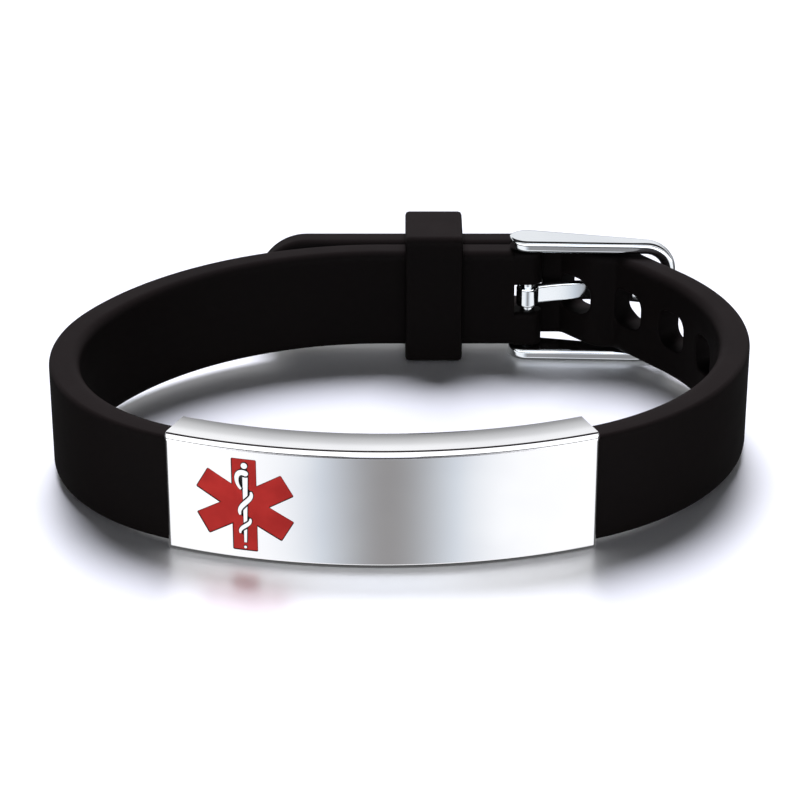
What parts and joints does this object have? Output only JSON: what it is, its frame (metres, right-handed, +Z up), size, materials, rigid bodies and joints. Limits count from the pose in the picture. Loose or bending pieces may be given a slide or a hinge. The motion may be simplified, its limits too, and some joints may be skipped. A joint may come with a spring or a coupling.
{
  "type": "medical alert bracelet",
  "caption": "Fastened silicone strap bracelet with a curved steel identity plate, enamelled medical star, keeper loop and pin buckle.",
  "frame": {"origin": "middle of the bracelet's outline, on the surface it lies on", "axes": "+X along the identity plate to the wearer's right of the picture, +Y from the plate to the buckle side, +Z up along the wrist's axis"},
  "size_m": [0.069, 0.0566, 0.0144],
  "materials": {
    "silicone": "matt black silicone",
    "plate_steel": "polished",
    "buckle_steel": "mirror polished",
    "enamel": "glossy red enamel"
  },
  "bodies": {
    "root": {"strap": "silicone", "id_plate": "plate_steel", "star_enamel": "enamel", "keeper": "silicone", "buckle_frame": "buckle_steel", "spring_bar": "buckle_steel", "tongue": "buckle_steel"}
  },
  "joints": []
}
